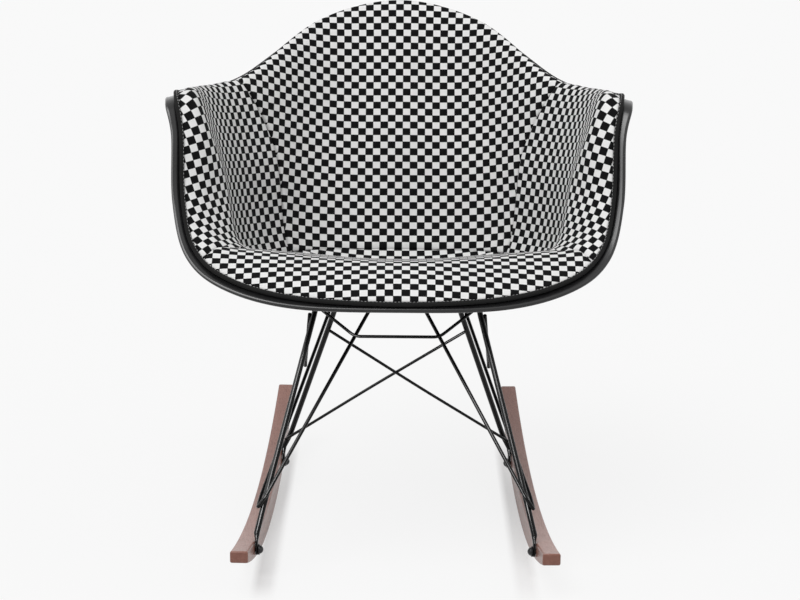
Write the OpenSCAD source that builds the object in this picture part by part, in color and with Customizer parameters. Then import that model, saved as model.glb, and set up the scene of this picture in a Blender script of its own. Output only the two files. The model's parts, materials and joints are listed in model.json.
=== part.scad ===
// Rocking armchair: an upholstered bucket shell on a welded wire base with two wooden rockers.
// Millimetres, +Z up. The sitter faces -Y, and the origin is on the floor, midway between the rockers' tips.

/* [Bucket] */
// Width of the upholstery across the arms
bucket_w = 594; // [560:1:640]
// Depth of the upholstery from the seat's front edge to the top of the back
bucket_d = 582; // [550:1:620]
// Height of the upholstery from the seat's front edge to the top of the back
bucket_h = 316; // [300:1:340]
// Height of the upholstery's front edge above the floor
front_edge_z = 370; // [366:1:380]
// Thickness of the moulded shell
shell_t = 4; // [3:0.5:6]
// Diameter of the rolled bead along the shell's lip
lip_bead_d = 6.5; // [5:0.5:7]

/* [Upholstery] */
// Thickness of the foam and cover
pad_t = 12; // [9:0.5:15]
// Thickness of the cover where it is drawn in at the edge
pad_edge_t = 4; // [3:0.5:5]
// Depth of the groove along the seams
seam_groove = 2.5; // [1:0.5:4]
// Diameter of the round welt between the cover and the lip
welt_d = 6; // [4.5:0.5:6.5]

/* [Rockers] */
// Length of a rocker along the floor
rocker_l = 686; // [640:1:740]
// Width of a rocker seen from above
rocker_w = 22.5; // [18:0.5:26]
// Height of a rocker above its lowest point
rocker_h = 35; // [30:0.5:42]
// Radius of the curve that meets the floor
rocker_r = 980; // [900:5:1200]
// Radius of the hollow top edge
rocker_top_r = 1390; // [1300:5:1600]
// Distance over both rockers at their front tips
rocker_front_span = 409; // [390:1:430]
// Distance over both rockers at their rear tips
rocker_rear_span = 363; // [350:1:390]

/* [Wire base] */
// Diameter of the four legs
leg_d = 7.5; // [6.5:0.25:8]
// Diameter of the wires that brace front to rear
wire_d = 4.8; // [4:0.2:5.4]
// Diameter of the wires that brace left to right
thin_wire_d = 4.2; // [3.6:0.2:4.8]
// Diameter of a rubber shock mount
mount_d = 38; // [32:0.5:42]
// Height of a rubber shock mount
mount_h = 15; // [12:0.5:18]

/* [Fasteners] */
// Thread diameter of the rocker bolts
bolt_d = 6; // [5:0.5:6.5]
// Diameter of the rocker bolts' domed heads
bolt_head_d = 11; // [9:0.5:13]
// Thread diameter of the shock mount screws
screw_d = 6; // [5:0.5:6.5]

/* [Hidden] */

// Clearance between pieces that lie against each other
gap = 0.3;
// How far a cutting tool runs past what it cuts
overrun = 1;

// Places on the base, as shares of half the front span, of the rockers' length and of the seat's height
front_knee_share = [0.8205, -0.36, 0.256];
front_top_share = [0.5205, -0.1968, 0.875];
rear_knee_share = [0.7510, 0.1983, 0.2027];
rear_top_share = [0.4190, 0.0219, 0.781];
v_rear_share = [0.4594, 0.0248, 0.7695];
v_rear_low_share = [0.8460, -0.3370, 0.2680];
v_bend_share = [0.8590, -0.3685, 0.2470];
v_front_low_share = [0.8044, -0.3690, 0.2925];
v_top_x_share = 0.266;
side_top_share = [0.557, -0.1997, 0.8595];
side_low_share = [0.6015, -0.0977, 0.6216];
brace_end_share = [0.494, -0.2012, 0.881];
brace_corner_share = [0.267, -0.2335, 0.7945];
cross_top_share = [0.4572, 0.0379, 0.693];
cross_low_share = [0.7848, 0.1913, 0.186];
rocker_touch_share = -0.0535;
rocker_dip_share = -0.0868;
front_bolt_share = -0.372;
rear_bolt_share = 0.206;
front_bolt_rise_share = 1.045;
rear_bolt_rise_share = 0.93;
head_share = 0.4;

// The bucket's surface is a net of rings from the seat's centre out to the upholstery's edge.
// Each ring has stations from the front centre, round one side, to the back centre. A station is
// a share of half the width, of the depth from the centre line of the rockers, and of the height.
centre_share = [0, -0.034, -0.038];
mid_seat_shares = [[0, -0.206, 0.057], [0.152, -0.192, 0.054], [0.269, -0.163, 0.051],
    [0.337, -0.129, 0.032], [0.364, -0.086, 0], [0.37, -0.065, -0.019], [0.37, -0.048, -0.032],
    [0.364, -0.014, -0.057], [0.33, 0.052, -0.085], [0.242, 0.089, -0.101], [0.128, 0.1, -0.111],
    [0, 0.103, -0.111]];
foot_shares = [[0, -0.366, 0.109], [0.32, -0.344, 0.114], [0.522, -0.284, 0.117],
    [0.606, -0.203, 0.089], [0.657, -0.137, 0.044], [0.673, -0.1, 0.006], [0.68, -0.069, -0.013],
    [0.667, -0.009, -0.032], [0.599, 0.1, -0.044], [0.444, 0.192, -0.054], [0.236, 0.22, -0.057],
    [0, 0.225, -0.057]];
mid_wall_shares = [[0, -0.424, 0.092], [0.377, -0.399, 0.098], [0.606, -0.337, 0.13],
    [0.724, -0.266, 0.149], [0.747, -0.192, 0.269], [0.761, -0.158, 0.38], [0.778, -0.113, 0.411],
    [0.774, -0.007, 0.411], [0.69, 0.131, 0.386], [0.505, 0.258, 0.38], [0.276, 0.335, 0.443],
    [0, 0.349, 0.506]];
high_wall_shares = [[0, -0.469, 0.051], [0.418, -0.442, 0.063], [0.673, -0.381, 0.108],
    [0.801, -0.309, 0.184], [0.832, -0.251, 0.316], [0.828, -0.21, 0.538], [0.869, -0.168, 0.703],
    [0.865, -0.014, 0.695], [0.795, 0.134, 0.674], [0.66, 0.249, 0.696], [0.37, 0.418, 0.886],
    [0, 0.45, 0.956]];
edge_shares = [[0, -0.498, 0], [0.438, -0.473, 0.013], [0.717, -0.416, 0.066], [0.859, -0.347, 0.158],
    [0.912, -0.28, 0.329], [0.923, -0.237, 0.585], [0.956, -0.179, 0.722], [0.97, -0.014, 0.698],
    [0.889, 0.155, 0.676], [0.734, 0.289, 0.696], [0.397, 0.462, 0.892], [0, 0.502, 0.994]];
lip_shares = [[0, -0.51, -0.032], [0.451, -0.491, -0.022], [0.741, -0.435, 0.032],
    [0.899, -0.363, 0.127], [0.961, -0.292, 0.316], [0.975, -0.244, 0.579], [1.017, -0.186, 0.703],
    [1.03, -0.014, 0.68], [0.929, 0.167, 0.658], [0.764, 0.306, 0.674], [0.407, 0.479, 0.867],
    [0, 0.522, 0.975]];
ring_shares = [mid_seat_shares, foot_shares, mid_wall_shares, high_wall_shares, edge_shares,
    lip_shares];

// Spans of the net once round, and how many facets each span has
half_spans = len(edge_shares) - 1;
spans = 2 * half_spans;
facets_per_span = 3;
around = spans * facets_per_span;
// Places along a rib, counted in rings from the centre, where the surface has facet lines
rib_shares = [0, 0.4, 0.8, 1.2, 1.6, 2, 2.3, 2.6, 3, 3.4, 3.8, 4.15, 4.5, 4.8, 5];
crease_line = 5;
edge_line = len(rib_shares) - 1;
// Facets from the front centre to the seams at the arms' feet and at the back's sides
arm_seam = 8;
back_seam = 26;

function unit(v) = v / norm(v);
// Smooth curve through four neighbours, from the second to the third
function blend(a, b, c, d, u) = (2 * b + (c - a) * u + (2 * a - 5 * b + 4 * c - d) * u * u
    + (3 * b - a - 3 * c + d) * u * u * u) / 2;
// A station of a ring, mirrored on the left side
function station(ring, k) =
    let (m = (k + 2 * spans) % spans, right = m <= half_spans, s = ring[right ? m : spans - m])
    [(right ? 1 : -1) * s[0] * bucket_w / 2, s[1] * bucket_d, front_edge_z + s[2] * bucket_h];
centre = [0, centre_share[1] * bucket_d, front_edge_z + centre_share[2] * bucket_h];
// A point of a ring at a place counted in spans
function on_ring(r, a) =
    let (k = floor(a), ring = ring_shares[r - 1])
    blend(station(ring, k - 1), station(ring, k), station(ring, k + 1), station(ring, k + 2), a - k);
// The rings' points along one rib, led in by the opposite rib and run out past the edge towards the lip
function rib_points(a) =
    let (p = [for (r = [1:5]) on_ring(r, a)], lip = on_ring(6, a) - p[4])
    concat([on_ring(1, a + half_spans), centre], p, [p[4] + norm(p[4] - p[3]) * unit(lip)]);
function on_rib(p, t) =
    let (r = min(floor(t), 4))
    blend(p[r], p[r + 1], p[r + 2], p[r + 3], t - r);

// Cover surface at every facet corner, and the lip's outer end
cover = [for (i = [0:around - 1])
    let (p = rib_points(i / facets_per_span)) [for (t = rib_shares) on_rib(p, t)]];
lip_end = [for (i = [0:around - 1]) on_ring(6, i / facets_per_span)];
// Each normal points into the bucket
function grid_normal(i, j) =
    let (a = cover[(i + around - 1) % around], b = cover[(i + 1) % around], c = cover[i],
        along = b[j] - a[j],
        out = c[min(j + 1, edge_line)] - c[max(j - 1, 0)])
    j == 0 ? [0, 0, 1] : unit(cross(out, along));
normals = [for (i = [0:around - 1]) [for (j = [0:edge_line]) grid_normal(i, j)]];

// Foam thickness, drawn in towards the edge over the last facets
edge_taper_shares = [1, 0.75, 0.4, 0.12, 0];
taper_start = edge_line - len(edge_taper_shares) + 1;
function foam_t(j) = pad_edge_t + (pad_t - pad_edge_t) * edge_taper_shares[max(0, j - taper_start)];
// A point above the shell's inner face, and a point on the cover, sunk where a seam runs
function shell_point(i, j, up) =
    let (k = i % around) cover[k][j] + (up - foam_t(j)) * normals[k][j];
function cover_point(i, j, sunk) =
    let (k = i % around) cover[k][j] - (sunk ? seam_groove : 0) * normals[k][j];
function edge_out(i) = unit(lip_end[i] - cover[i][edge_line]);
function edge_up(i) = let (n = normals[i][edge_line], out = edge_out(i)) unit(n - (n * out) * out);

// Facets between rows of points, each row with the same number of columns
function sheet_faces(rows, cols, closed) =
    [for (i = [0:(closed ? rows - 1 : rows - 2)], j = [0:cols - 2])
        let (a = i * cols + j, b = ((i + 1) % rows) * cols + j)
        each [[a, b, a + 1], [b, b + 1, a + 1]]];
function flip(faces, shift) = [for (f = faces) [f[0] + shift, f[2] + shift, f[1] + shift]];

// Shell.
// Facets round the lip's bead, and the turn they cover
bead_steps = 6;
bead_turn = 240;
module seat_shell() {
    // Each rib runs out on the inner face, round the bead and back on the outer face
    bead_r = lip_bead_d / 2;
    loops = [for (i = [0:around - 1])
        let (out = edge_out(i), up = edge_up(i), bead = lip_end[i] - bead_r * out
                - (pad_edge_t + shell_t / 2) * up)
        concat([for (j = [1:edge_line]) shell_point(i, j, 0)],
            [for (k = [0:bead_steps]) let (w = bead_turn * (1 / 2 - k / bead_steps))
                bead + bead_r * (cos(w) * out + sin(w) * up)],
            [for (j = [edge_line:-1:1]) shell_point(i, j, -shell_t)])];
    cols = len(loops[0]);
    pole = around * cols;
    points = concat([for (l = loops) each l], [shell_point(0, 0, 0), shell_point(0, 0, -shell_t)]);
    poles = [for (i = [0:around - 1]) let (a = i * cols, b = ((i + 1) % around) * cols)
        each [[pole, b, a], [pole + 1, a + cols - 1, b + cols - 1]]];
    color([0.02, 0.02, 0.02]) polyhedron(points, concat(sheet_faces(around, cols, true), poles));
}

// Upholstery.
// Skin of a padded piece between two ribs and two facet lines, sunk along its seams
module pad_patch(i0, i1, j0, j1, sink_low) {
    rows = i1 - i0 + 1;
    cols = j1 - j0 + 1;
    count = rows * cols;
    top = [for (i = [i0:i1], j = [j0:j1]) cover_point(i, j, i == i0 || i == i1 || (sink_low && j == j0))];
    base = [for (i = [i0:i1], j = [j0:j1]) shell_point(i, j, gap)];
    skin = sheet_faces(rows, cols, false);
    rim = concat([for (i = [0:rows - 1]) i * cols], [for (j = [1:cols - 1]) (rows - 1) * cols + j],
        [for (i = [rows - 2:-1:0]) i * cols + cols - 1], [for (j = [cols - 2:-1:1]) j]);
    sides = [for (k = [0:len(rim) - 1]) let (a = rim[k], b = rim[(k + 1) % len(rim)])
        each [[b, a, a + count], [b, a + count, b + count]]];
    polyhedron(concat(top, base), concat(skin, flip(skin, count), sides));
}
// The seat is one piece: its round middle out to the crease, and the front from there to the edge
front_cols = edge_line - crease_line;
function seat_id(i, j) = let (k = (i + around) % around)
    j <= crease_line ? k * crease_line + j - 1
    : around * crease_line + ((i + arm_seam + around) % around) * front_cols + j - crease_line - 1;
function seat_cells(ribs, lines) = [for (i = ribs, j = lines)
    let (a = seat_id(i, j), b = seat_id(i + 1, j), c = seat_id(i, j + 1))
    each [[a, b, c], [b, seat_id(i + 1, j + 1), c]]];
module seat_pad() {
    far = around - arm_seam;
    count = around * crease_line + (2 * arm_seam + 1) * front_cols;
    // Each spot is a rib, a facet line and whether a seam runs there
    spots = concat(
        [for (i = [0:around - 1], j = [1:crease_line])
            [i, j, j == crease_line && i >= arm_seam && i <= far]],
        [for (i = [-arm_seam:arm_seam], j = [crease_line + 1:edge_line])
            [i + around, j, abs(i) == arm_seam]]);
    top = [for (s = spots) cover_point(s[0], s[1], s[2])];
    base = [for (s = spots) shell_point(s[0], s[1], gap)];
    skin = concat(seat_cells([0:around - 1], [1:crease_line - 1]),
        seat_cells([-arm_seam:arm_seam - 1], [crease_line:edge_line - 1]));
    poles = [for (i = [0:around - 1]) let (a = seat_id(i, 1), b = seat_id(i + 1, 1))
        each [[2 * count, b, a], [2 * count + 1, count + a, count + b]]];
    rim = concat([for (i = [far:-1:arm_seam]) seat_id(i, crease_line)],
        [for (j = [crease_line + 1:edge_line]) seat_id(arm_seam, j)],
        [for (i = [arm_seam - 1:-1:-arm_seam]) seat_id(i, edge_line)],
        [for (j = [edge_line - 1:-1:crease_line + 1]) seat_id(-arm_seam, j)]);
    sides = [for (k = [0:len(rim) - 1]) let (a = rim[k], b = rim[(k + 1) % len(rim)])
        each [[b, a, a + count], [b, a + count, b + count]]];
    color([0.9, 0.9, 0.9])
        polyhedron(concat(top, base, [cover_point(0, 0, false), shell_point(0, 0, gap)]),
            concat(skin, flip(skin, count), poles, sides));
}
module back_pad() {
    color([0.85, 0.85, 0.85]) pad_patch(back_seam, around - back_seam, crease_line, edge_line, true);
}
module arm_pad_right() {
    color([0.8, 0.8, 0.8]) pad_patch(arm_seam, back_seam, crease_line, edge_line, true);
}
module arm_pad_left() {
    color([0.8, 0.8, 0.8]) pad_patch(around - back_seam, around - arm_seam, crease_line, edge_line, true);
}

// Tubes.
function run_dirs(p) = [for (i = [0:len(p) - 1])
    unit((i < len(p) - 1 ? unit(p[i + 1] - p[i]) : [0, 0, 0])
        + (i > 0 ? unit(p[i] - p[i - 1]) : [0, 0, 0]))];
// Side directions carried along a run without twist
function run_sides(t, i, last, out) =
    i == len(t) ? out
    : let (n = i == 0 ? unit(cross(t[0], abs(t[0][0]) < 1 / 2 ? [1, 0, 0] : [0, 1, 0]))
            : unit(last - (last * t[i]) * t[i]))
        run_sides(t, i + 1, n, concat(out, [n]));
// Round off each inner corner of a run with a short curve
corner_shares = [0, 0.25, 0.5, 0.75, 1];
function soften(p, reach) = [for (i = [0:len(p) - 1])
    each (i == 0 || i == len(p) - 1 ? [p[i]]
        : let (a = p[i] + reach * unit(p[i - 1] - p[i]), b = p[i] + reach * unit(p[i + 1] - p[i]))
            [for (u = corner_shares) (1 - u) * (1 - u) * a + 2 * u * (1 - u) * p[i] + u * u * b])];
// Closed tube along a run; each section may be widened and flattened by a pair of factors
module tube_run(p, d, sides, squeeze = []) {
    t = run_dirs(p);
    s = run_sides(t, 0, [0, 0, 0], []);
    n = len(p);
    points = [for (i = [0:n - 1])
        let (a = s[i], b = cross(t[i], a), q = i < len(squeeze) ? squeeze[i] : [1, 1])
        for (k = [0:sides - 1])
            p[i] + d / 2 * (q[0] * cos(360 * k / sides) * a + q[1] * sin(360 * k / sides) * b)];
    walls = [for (i = [0:n - 2], k = [0:sides - 1])
        let (a = i * sides + k, b = i * sides + (k + 1) % sides)
        each [[a, a + sides, b], [b, a + sides, b + sides]]];
    caps = [for (k = [1:sides - 2]) each [[0, k, k + 1],
        [(n - 1) * sides, (n - 1) * sides + k + 1, (n - 1) * sides + k]]];
    polyhedron(points, concat(walls, caps));
}
// Straight round bar between two points
module bar(a, b, d) {
    v = b - a;
    translate(a) rotate([0, acos(v[2] / norm(v)), atan2(v[1], v[0])])
        cylinder(h = norm(v), d = d, $fn = 32);
}
module on_left(left) {
    if (left) mirror([1, 0, 0]) children();
    else children();
}
module both_sides() {
    children();
    mirror([1, 0, 0]) children();
}

// Welt.
welt_sides = 8;
module edge_welt() {
    // Lies in the corner between the cover's edge and the bare lip
    run = [for (i = [0:around - 1])
        cover[i][edge_line] + (welt_d / 2 + gap) * edge_out(i)
            + (2 * gap + welt_d / 2 - pad_edge_t) * edge_up(i)];
    count = around * welt_sides;
    points = [for (i = [0:around - 1])
        let (t = unit(run[(i + 1) % around] - run[(i + around - 1) % around]),
            a = unit(cross(t, edge_up(i))), b = cross(t, a))
        for (k = [0:welt_sides - 1])
            run[i] + welt_d / 2 * (cos(360 * k / welt_sides) * a + sin(360 * k / welt_sides) * b)];
    faces = [for (i = [0:around - 1], k = [0:welt_sides - 1])
        let (a = i * welt_sides + k, b = i * welt_sides + (k + 1) % welt_sides)
        each [[a, (a + welt_sides) % count, b], [b, (a + welt_sides) % count, (b + welt_sides) % count]]];
    color([0.03, 0.03, 0.03]) polyhedron(points, faces);
}

// Shock mounts.
// Facet corners of the bucket, counted round and outwards, that the mounts sit below
front_corner = [5, 3];
rear_corner = [21, 2];
// Steel plate below each mount
plate_d = 34;
plate_t = 3;
// A mount's waist and its upper flange
neck_share = 0.79;
mount_neck_d = mount_d * neck_share;
mount_flange_h = mount_h / 3;
function mount_up(c) = normals[c[0]][c[1]];
function mount_top(c) = shell_point(c[0], c[1], -shell_t - gap);
function plate_top(c) = mount_top(c) - (mount_h + gap) * mount_up(c);
function plate_low(c) = plate_top(c) - plate_t * mount_up(c);
// Puts its children's origin at a point with +Z along the mount's upward direction
module upright(p, up) {
    translate(p) rotate([0, acos(up[2]), atan2(up[1], up[0])]) children();
}
module all_mounts(depth) {
    both_sides() for (c = [front_corner, rear_corner])
        upright(mount_top(c) - depth * mount_up(c), mount_up(c)) children();
}
screw_hole_d = screw_d + 2 * gap;
// How far a screw goes into its mount, and its round head with a hexagon socket
screw_reach = mount_h * 4 / 5;
screw_head_d = 10;
screw_head_h = 4;
// Room left round a screw's head
head_room = 2;
module shock_mounts() {
    color([0.05, 0.05, 0.05]) all_mounts(mount_h) difference() {
        union() {
            cylinder(h = mount_h, d = mount_neck_d, $fn = 32);
            translate([0, 0, mount_h - mount_flange_h]) cylinder(h = mount_flange_h, d = mount_d, $fn = 32);
        }
        translate([0, 0, -overrun]) cylinder(h = screw_reach + gap + overrun, d = screw_hole_d, $fn = 32);
    }
}
module mount_plates() {
    color([0.1, 0.1, 0.1]) all_mounts(mount_h + gap + plate_t) difference() {
        cylinder(h = plate_t, d = plate_d, $fn = 32);
        translate([0, 0, -overrun]) cylinder(h = plate_t + 2 * overrun, d = screw_hole_d, $fn = 32);
    }
}
module mount_screws() {
    color([0.3, 0.3, 0.32]) all_mounts(mount_h + 2 * gap + plate_t) {
        cylinder(h = screw_reach + plate_t + gap, d = screw_d, $fn = 32);
        translate([0, 0, -screw_head_h]) difference() {
            cylinder(h = screw_head_h, d = screw_head_d, $fn = 32);
            translate([0, 0, -overrun]) cylinder(h = screw_head_h / 2 + overrun, d = screw_d, $fn = 6);
        }
    }
}

// Rockers.
splay = atan((rocker_front_span - rocker_rear_span) / 2 / rocker_l);
rocker_inner_x = (rocker_front_span + rocker_rear_span) / 4 - rocker_w;
// Where the rocker's lower curve touches the floor, and where its top curve is lowest
touch_y = rocker_touch_share * rocker_l;
dip_y = rocker_dip_share * rocker_l;
// A leg's flattened foot, and the hole for its bolt
strap_w = 14;
strap_t = 4.2;
strap_hole_d = bolt_d + 2 * gap;
// The bolt's domed head, its washer, and how far it goes into the wood
head_h = bolt_head_d * head_share;
washer_t = 1.2;
washer_share = 1.27;
washer_d = bolt_head_d * washer_share;
bolt_reach = rocker_w * 3 / 4;
pilot_d = bolt_d + gap;
// The four bolts' places along the rocker, and their height as a share of the rocker's height
front_bolt_y = front_bolt_share * rocker_l;
rear_bolt_y = rear_bolt_share * rocker_l;
front_bolt_z = front_bolt_rise_share * rocker_h;
rear_bolt_z = rear_bolt_rise_share * rocker_h;
// A place counted from the rocker's inner face, along the rocker and up
function by_rocker(v) = [rocker_inner_x + v[0] * cos(splay) - v[1] * sin(splay),
    v[0] * sin(splay) + v[1] * cos(splay), v[2]];
module at_rocker() {
    translate([rocker_inner_x, 0, 0]) rotate([0, 0, splay]) children();
}
module rocker_outline() {
    half = rocker_l / 2;
    difference() {
        intersection() {
            translate([touch_y, rocker_r]) circle(r = rocker_r, $fn = 720);
            polygon([[-half, 0], [half, 0], [half, rocker_l], [-half, rocker_l]]);
        }
        translate([dip_y, rocker_h + rocker_top_r]) circle(r = rocker_top_r, $fn = 720);
    }
}
module rocker() {
    color([0.3, 0.16, 0.1]) at_rocker() difference() {
        rotate([90, 0, 90]) linear_extrude(rocker_w) rocker_outline();
        for (b = [[front_bolt_y, front_bolt_z], [rear_bolt_y, rear_bolt_z]])
            translate([-overrun, b[0], b[1]]) rotate([0, 90, 0])
                cylinder(h = bolt_reach + gap + overrun, d = pilot_d, $fn = 32);
    }
}
module rocker_left() { on_left(true) rocker(); }
module rocker_right() { on_left(false) rocker(); }
// Puts its children at each bolt with +Z pointing out through the rocker, a given distance inside its face
module at_bolts(inside) {
    both_sides() at_rocker() for (b = [[front_bolt_y, front_bolt_z], [rear_bolt_y, rear_bolt_z]])
        translate([-inside, b[0], b[1]]) rotate([0, 90, 0]) children();
}
strap_stack = strap_t + 2 * gap;
washer_stack = strap_stack + washer_t + gap;
module rocker_washers() {
    color([0.35, 0.35, 0.37]) at_bolts(strap_stack + washer_t) difference() {
        cylinder(h = washer_t, d = washer_d, $fn = 32);
        translate([0, 0, -overrun]) cylinder(h = washer_t + 2 * overrun, d = strap_hole_d, $fn = 32);
    }
}
module rocker_bolts() {
    // The dome is a slice of a ball that covers the head's width
    ball_r = (head_h * head_h + bolt_head_d * bolt_head_d / 4) / (2 * head_h);
    color([0.3, 0.3, 0.32]) at_bolts(washer_stack) union() {
        cylinder(h = washer_stack + bolt_reach, d = bolt_d, $fn = 32);
        intersection() {
            translate([0, 0, ball_r - head_h]) sphere(r = ball_r, $fn = 32);
            translate([0, 0, -head_h]) cylinder(h = head_h, d = bolt_head_d, $fn = 32);
        }
    }
}

// Legs.
// A place on the base
function place(s) = [s[0] * rocker_front_span / 2, s[1] * rocker_l, s[2] * front_edge_z];
leg_sides = 12;
wire_sides = 10;
bend_reach = 8;
strap_end_shares = [-0.5, -0.32, 0, 0.9, 1.6];
strap_squeeze = [[0.5, strap_t / leg_d], [0.86, strap_t / leg_d], [1, strap_t / leg_d], [1, strap_t / leg_d]];
// Flattened foot on the rocker's inner face, a bend, the slope up and the end below a shock mount's plate
module leg(bolt_y, bolt_z, knee, top, c) {
    strap = [for (s = strap_end_shares) by_rocker([-gap - strap_t / 2, bolt_y, bolt_z + s * strap_w])];
    low = plate_low(c);
    up = mount_up(c);
    toward = place(top) - low;
    flat = unit(toward - (toward * up) * up);
    below = low - (leg_d / 2 + gap) * up;
    slope = soften([strap[4], place(knee), place(top), below + plate_d / 2 * flat,
        below + (screw_head_d / 2 + head_room) * flat], bend_reach);
    foot = [for (k = [0:3]) strap[k]];
    wide = strap_w / leg_d;
    squeeze = [for (q = strap_squeeze) [q[0] * wide, q[1]]];
    color([0.04, 0.04, 0.04]) difference() {
        tube_run(concat(foot, slope), leg_d, leg_sides, squeeze);
        at_rocker() translate([overrun, bolt_y, bolt_z]) rotate([0, -90, 0])
            cylinder(h = strap_t + 2 * gap + 2 * overrun, d = strap_hole_d, $fn = 32);
    }
}
module front_leg() { leg(front_bolt_y, front_bolt_z, front_knee_share, front_top_share, front_corner); }
module rear_leg() { leg(rear_bolt_y, rear_bolt_z, rear_knee_share, rear_top_share, rear_corner); }
module front_leg_left() { on_left(true) front_leg(); }
module front_leg_right() { on_left(false) front_leg(); }
module rear_leg_left() { on_left(true) rear_leg(); }
module rear_leg_right() { on_left(false) rear_leg(); }

// Bracing wires.
rod_drop = wire_d / 2 + gap + plate_d / 2 * abs(mount_up(front_corner)[0]);
rod_y = plate_low(front_corner)[1];
rod_z = plate_low(front_corner)[2] - rod_drop;
rod_end_x = plate_low(front_corner)[0] - screw_head_d / 2 - head_room;
module front_top_rod() {
    color([0.04, 0.04, 0.04]) bar([-rod_end_x, rod_y, rod_z], [rod_end_x, rod_y, rod_z], wire_d);
}
// One wire bent to a V: its tight bend is welded to the front leg
module v_wire() {
    top = [v_top_x_share * rod_end_x, rod_y, rod_z - wire_d - gap];
    run = [place(v_rear_share), place(v_rear_low_share), place(v_bend_share), place(v_front_low_share), top];
    color([0.04, 0.04, 0.04]) tube_run(soften(run, wire_d), wire_d, wire_sides);
}
module v_wire_left() { on_left(true) v_wire(); }
module v_wire_right() { on_left(false) v_wire(); }
module side_wire() {
    color([0.04, 0.04, 0.04]) bar(place(side_top_share), place(side_low_share), wire_d);
}
module side_wire_left() { on_left(true) side_wire(); }
module side_wire_right() { on_left(false) side_wire(); }
module front_brace_wire() {
    end = place(brace_end_share);
    corner = place(brace_corner_share);
    color([0.04, 0.04, 0.04]) tube_run(soften([end, corner, [-corner[0], corner[1], corner[2]],
        [-end[0], end[1], end[2]]], bend_reach), thin_wire_d, wire_sides);
}
// Two wires crossing behind the seat's middle, each bowed by half a wire so that they pass
module cross_brace(bow) {
    top = place(cross_top_share);
    low = place(cross_low_share);
    low_left = [-low[0], low[1], low[2]];
    away = unit(cross(low_left - top, [1, 0, 0]));
    mid = (top + low_left) / 2 + bow * (thin_wire_d + gap) / 2 * away;
    color([0.04, 0.04, 0.04]) tube_run([top, mid, low_left], thin_wire_d, wire_sides);
}
module cross_brace_a() { cross_brace(-1); }
module cross_brace_b() { mirror([1, 0, 0]) cross_brace(1); }

seat_shell();
seat_pad();
back_pad();
arm_pad_left();
arm_pad_right();
edge_welt();
shock_mounts();
mount_plates();
mount_screws();
front_leg_left();
front_leg_right();
rear_leg_left();
rear_leg_right();
front_top_rod();
front_brace_wire();
v_wire_left();
v_wire_right();
side_wire_left();
side_wire_right();
cross_brace_a();
cross_brace_b();
rocker_left();
rocker_right();
rocker_washers();
rocker_bolts();
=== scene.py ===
# Rocking armchair: a padded, chequered bucket on rubber mounts, a wire base and two wooden rockers.
# Metres, +Z up. The sitter faces -Y, and the origin is on the floor between the rockers.
import json
import math
import bpy
import bmesh
from mathutils import Matrix, Vector

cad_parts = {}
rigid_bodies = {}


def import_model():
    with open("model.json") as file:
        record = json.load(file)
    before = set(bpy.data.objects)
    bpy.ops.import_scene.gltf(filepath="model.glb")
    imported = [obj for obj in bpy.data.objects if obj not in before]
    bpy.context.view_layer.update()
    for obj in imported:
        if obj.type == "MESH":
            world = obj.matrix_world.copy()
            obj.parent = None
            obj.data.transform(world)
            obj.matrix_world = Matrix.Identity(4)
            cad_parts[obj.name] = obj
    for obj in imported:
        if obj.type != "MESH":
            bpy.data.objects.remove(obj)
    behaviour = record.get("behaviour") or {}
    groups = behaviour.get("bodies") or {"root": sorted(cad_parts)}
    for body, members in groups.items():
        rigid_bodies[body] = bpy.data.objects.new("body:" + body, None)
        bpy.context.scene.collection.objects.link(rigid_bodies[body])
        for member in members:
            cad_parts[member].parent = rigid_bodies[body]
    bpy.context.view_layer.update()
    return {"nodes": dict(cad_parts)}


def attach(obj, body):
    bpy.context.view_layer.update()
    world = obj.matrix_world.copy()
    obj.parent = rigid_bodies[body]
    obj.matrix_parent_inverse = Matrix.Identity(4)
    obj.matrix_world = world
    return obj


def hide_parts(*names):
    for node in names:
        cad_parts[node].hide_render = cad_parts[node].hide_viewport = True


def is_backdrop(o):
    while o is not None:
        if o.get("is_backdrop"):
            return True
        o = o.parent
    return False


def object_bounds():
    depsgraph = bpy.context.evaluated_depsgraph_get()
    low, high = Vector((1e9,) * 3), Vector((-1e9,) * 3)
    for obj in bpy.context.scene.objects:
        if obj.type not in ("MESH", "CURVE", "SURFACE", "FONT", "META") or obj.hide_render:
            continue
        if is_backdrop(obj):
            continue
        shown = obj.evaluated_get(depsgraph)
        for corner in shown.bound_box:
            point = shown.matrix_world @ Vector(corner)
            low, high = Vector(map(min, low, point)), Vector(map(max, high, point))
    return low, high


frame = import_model()
scene = bpy.context.scene
print("frame loaded:", len(frame["nodes"]), "solids")


# The bucket's surface
bucket = {
    "width": 0.594,
    "depth": 0.582,
    "height": 0.316,
    "frontEdge": 0.370,
    "shellThickness": 0.004,
    "beadDiameter": 0.0065,
    "foam": 0.012,
    "foamAtEdge": 0.004,
    "seamGroove": 0.0025,
    "weltDiameter": 0.006,
    "clearance": 0.0003,
}
centreShare = (0, -0.034, -0.038)
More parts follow.
